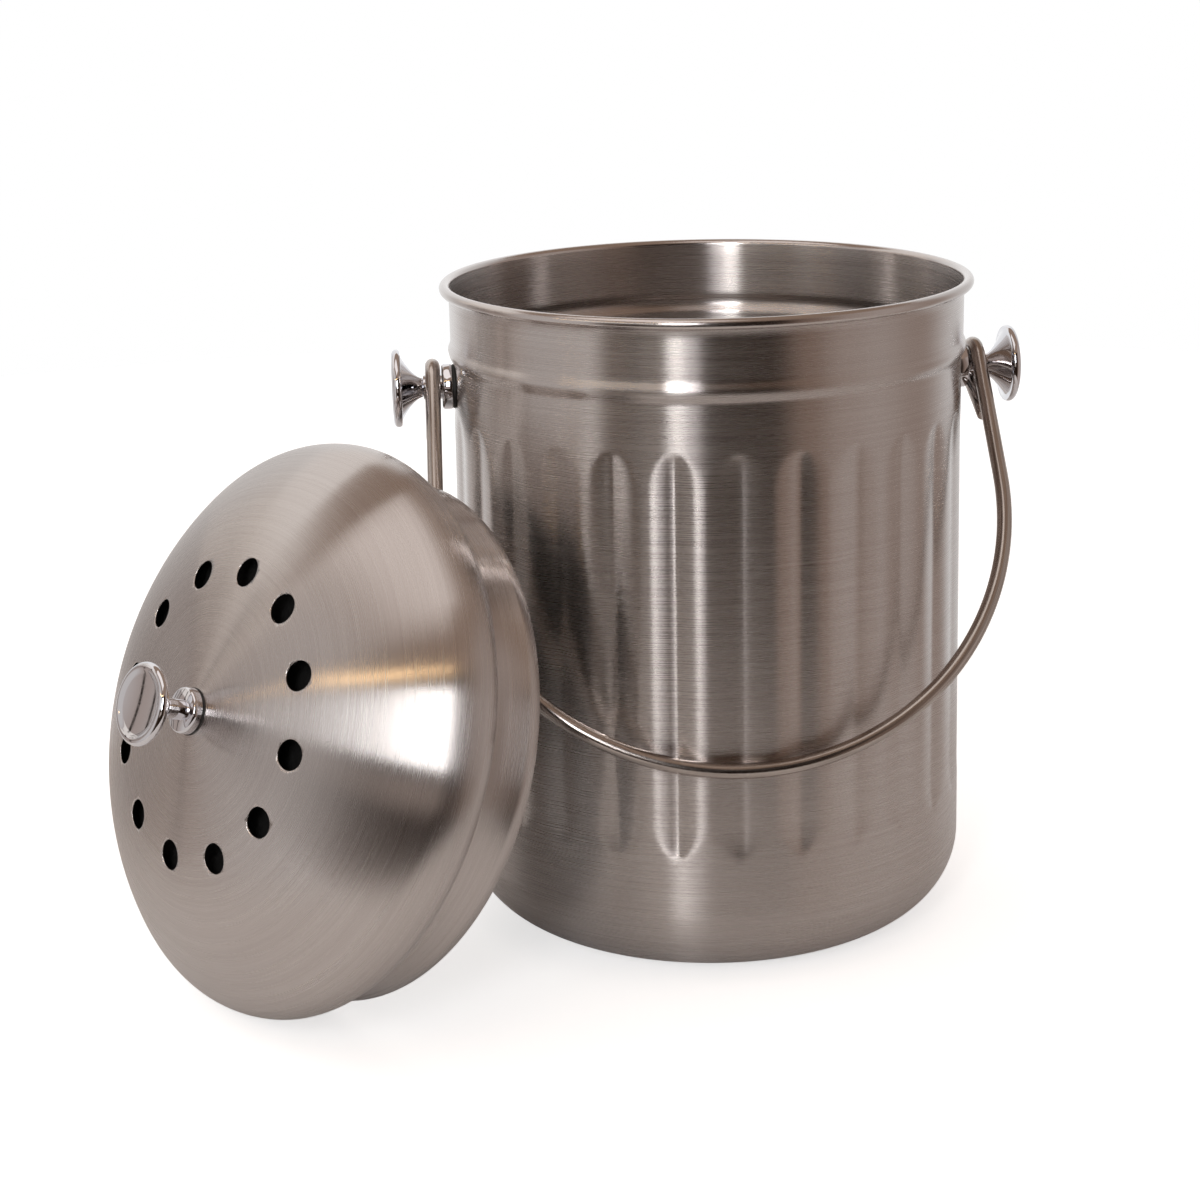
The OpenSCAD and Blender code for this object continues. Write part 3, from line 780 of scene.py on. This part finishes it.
# %% Ring of cloth
ring_paint, tree = finish_named("studio_cloth")
place = add(tree, "ShaderNodeSeparateXYZ", {0: add(tree, "ShaderNodeTexCoord").outputs["Object"]})
flip = add(tree, "ShaderNodeMath", {0: place.outputs[1], 1: -1.0}, operation="MULTIPLY")
turned_by = add(tree, "ShaderNodeMath", {0: place.outputs[0], 1: flip.outputs[0]},
                operation="ARCTAN2")
share = add(tree, "ShaderNodeMapRange", {"Value": turned_by.outputs[0], "From Min": -math.pi,
                                         "From Max": math.pi, "To Min": 0.0, "To Max": 1.0})
level = stops(tree, share.outputs[0], [((d + 180) / 360, v) for d, v in AROUND])
glow = add(tree, "ShaderNodeEmission", {"Color": level, "Strength": 1.0})
add(tree, "ShaderNodeOutputMaterial", {"Surface": glow.outputs[0]})
RING_R, RING_LOW, RING_HIGH, ROUND = 1.6, -1.4, 1.5, 96
ring_edges = circle(RING_R, RING_LOW, ROUND) + circle(RING_R, RING_HIGH, ROUND)
ring = stage_piece("studio_ring", ring_edges, band(ROUND), ring_paint, camera_sees=False,
                   shades=False)
ring.rotation_euler = (0, 0, -FRAME_TURN)
print("studio ring:", round(2 * math.pi * RING_R, 1), "m of cloth round the pail")

# %% [markdown]
# ## Softboxes and reflecting cards
# A softbox is a lamp behind cloth. Here it is a flat card that glows, because an area lamp would
# be a plain rectangle in every mirror and can't be bent into a strip. Each card is placed by the
# direction it is seen in from the pail: degrees round it and degrees above it. The narrow front
# softbox makes the long streak on the pail and the bright wedge on the lid, the warm strip makes
# the golden line above that wedge, and four dark seams in the cloth give the lid's knob something
# to mirror.


# %% Cards
CARD_AWAY, SEAM_AWAY, STRIP_AWAY, LIFT = 1.45, 1.3, 1.4, 0.1
FRONT_WIDE = 6.8


def glowing(name, code, strength):
    material, tree = finish_named(name)
    light = add(tree, "ShaderNodeEmission", {"Color": linear(code), "Strength": strength})
    add(tree, "ShaderNodeOutputMaterial", {"Surface": light.outputs[0]})
    return material


def seen_at(around, above, away):
    a, e = math.radians(around) - FRAME_TURN, math.radians(above)
    return Vector((math.sin(a) * math.cos(e), -math.cos(a) * math.cos(e), math.sin(e))) * away


def card(name, around, above, wide, tall, material, away=CARD_AWAY):
    a = math.radians(around) - FRAME_TURN
    centre = seen_at(around, above, away)
    side = Vector((math.cos(a), math.sin(a), 0)) * away * math.tan(math.radians(wide / 2))
    up = side.cross(centre).normalized() * away * math.tan(math.radians(tall / 2))
    corners = [centre - side - up, centre + side - up, centre + side + up, centre - side + up]
    lift = Vector((0, 0, LIFT))
    return stage_piece(name, [tuple(c + lift) for c in corners], [[0, 1, 2, 3]], material,
                       camera_sees=False, shades=False)


card("front_softbox", -12.6, 25, FRONT_WIDE, 22, glowing("front_softbox_cloth", "#ffffff", 11))
card("front_softbox_side", -6.2, 25, 6, 22, glowing("front_softbox_side_cloth", "#fbfaff", 4.2))
card("left_wall_high", -109, 23, 40, 19, glowing("left_wall_cloth", "#fff6ee", 0.82))
card("back_wall_high", -135, 40, 66, 18, glowing("back_wall_cloth", "#fffaf6", 0.95))
card("left_softbox_spill", -38, 23, 32, 14, glowing("left_spill_cloth", "#ffffff", 0.9))
card("low_fill", -14, 7, 26, 9, glowing("low_fill_cloth", "#ffeade", 0.4))
seam = glowing("tent_seam_cloth", "#ffe4d2", 0.03)
for number, around in enumerate((-115, -109, -104, -95)):
    card("tent_seam_%d" % number, around, 4, 1.4, 38, seam, away=SEAM_AWAY)
print("front softbox:", round(CARD_AWAY * math.radians(FRONT_WIDE), 2), "m wide")


# %% Warm strip
def strip(name, line, half, material):
    lift = Vector((0, 0, LIFT))
    points = [tuple(seen_at(around, above + edge, STRIP_AWAY) + lift)
              for around, above in line for edge in (-half, half)]
    faces = [[2 * i, 2 * i + 2, 2 * i + 3, 2 * i + 1] for i in range(len(line) - 1)]
    return stage_piece(name, points, faces, material, camera_sees=False, shades=False)


warm_line = [(-66, 24.6), (-54, 28.6), (-44, 32), (-32, 36), (-20, 39.6), (-6, 41.6)]
warm_strip = strip("warm_strip", warm_line, 0.6, glowing("warm_strip_cloth", "#ffd8a2", 5))
print("warm strip:", len(warm_strip.data.polygons), "pieces")

# %% Ceiling
CEILING_R = 1.7
stage_piece("studio_ceiling", circle(CEILING_R, RING_HIGH, 48), [list(range(48))],
            glowing("studio_ceiling", "#ffdcc4", 0.3), camera_sees=False, shades=False)
print("ceiling at", RING_HIGH, "m")

# %% [markdown]
# ## The table and the background
# The object stands on a matt white table, which carries its soft shadow. To the camera the table
# also glows a little, so that it fades into the white background and only the shadow is left. Two
# pieces with the same paint are used, because the far part isn't there for mirrors: polished metal
# seen from the front should show the dark room low down, not a bright floor out to the walls. The
# world is plain white to the camera and to mirrors, and a little darker as a light.

# %% Table
table_paint, tree = finish_named("white_table_top")
ray = add(tree, "ShaderNodeLightPath")
matt = add(tree, "ShaderNodeBsdfDiffuse", {"Color": (0.9, 0.9, 0.9, 1)})
white = add(tree, "ShaderNodeEmission", {"Color": (1, 1, 1, 1), "Strength": 0.65})
both = add(tree, "ShaderNodeAddShader", {0: matt.outputs[0], 1: white.outputs[0]})
seen = add(tree, "ShaderNodeMixShader", {0: ray.outputs["Is Camera Ray"], 1: matt.outputs[0],
                                         2: both.outputs[0]})
add(tree, "ShaderNodeOutputMaterial", {"Surface": seen.outputs[0]})
TOP_R, FAR_R, TABLE_AT = 0.36, 1.2, (-0.05, -0.02, -0.0004)
table_top = stage_piece("table_top", circle(TOP_R, 0, ROUND), [list(range(ROUND))], table_paint)
table_far = stage_piece("table_far", circle(FAR_R, 0, ROUND) + circle(TOP_R, 0, ROUND),
                        band(ROUND), table_paint)
table_far.visible_glossy = False
table_top.location = table_far.location = TABLE_AT
print("table:", 2 * FAR_R, "m across")

# %% Background
world = bpy.data.worlds.new("studio_air")
bpy.context.scene.world = world
world.use_nodes = True
tree = world.node_tree
tree.nodes.clear()
ray = add(tree, "ShaderNodeLightPath")
shown = ray.outputs["Is Camera Ray"]
for kind in ("Is Glossy Ray", "Is Transmission Ray"):
    shown = add(tree, "ShaderNodeMath", {0: shown, 1: ray.outputs[kind]},
                operation="MAXIMUM").outputs[0]
soft = add(tree, "ShaderNodeBackground", {"Color": (1, 1, 1, 1), "Strength": 0.6})
clear = add(tree, "ShaderNodeBackground", {"Color": (1, 1, 1, 1), "Strength": 1.0})
air = add(tree, "ShaderNodeMixShader", {0: shown, 1: soft.outputs[0], 2: clear.outputs[0]})
add(tree, "ShaderNodeOutputWorld", {"Surface": air.outputs[0]})
print("background strength 1 is white")

# %% [markdown]
# ## The overhead softbox
# One wide area lamp above and a little to the front left gives the soft shadow, the light inside
# the pail and the sheen on the upper side of the lid. Its size matters more than its power: a
# wider lamp gives a softer shadow.


# %% Overhead softbox
def softbox(name, place, target, width, height, power):
    lamp = bpy.data.lights.new(name, "AREA")
    lamp.shape, lamp.size, lamp.size_y, lamp.energy = "RECTANGLE", width, height, power
    made = bpy.data.objects.new(name, lamp)
    bpy.context.scene.collection.objects.link(made)
    made.location = place
    made.rotation_euler = (Vector(target) - Vector(place)).to_track_quat("-Z", "Y").to_euler()
    print(name, "radiance", round(power / (math.pi * width * height), 2))


softbox("top_softbox", (-0.3, -0.2, 1.45), (-0.1, -0.1, 0.1), 1.2, 1.2, 3.4)

# %% [markdown]
# ## Sizes and finish
# The view transform Standard shows a colour as it is written. The box of the finished pieces is
# measured and set against the solid model's box, and how much it grows is printed.

# %% Sizes and finish
bpy.context.scene.view_settings.view_transform = "Standard"
shown_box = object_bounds()
grown = [round((b - a) / MM, 2) for a, b in zip(cad_box[1], shown_box[1])]
print("box grows by", grown, "mm at the high corner")
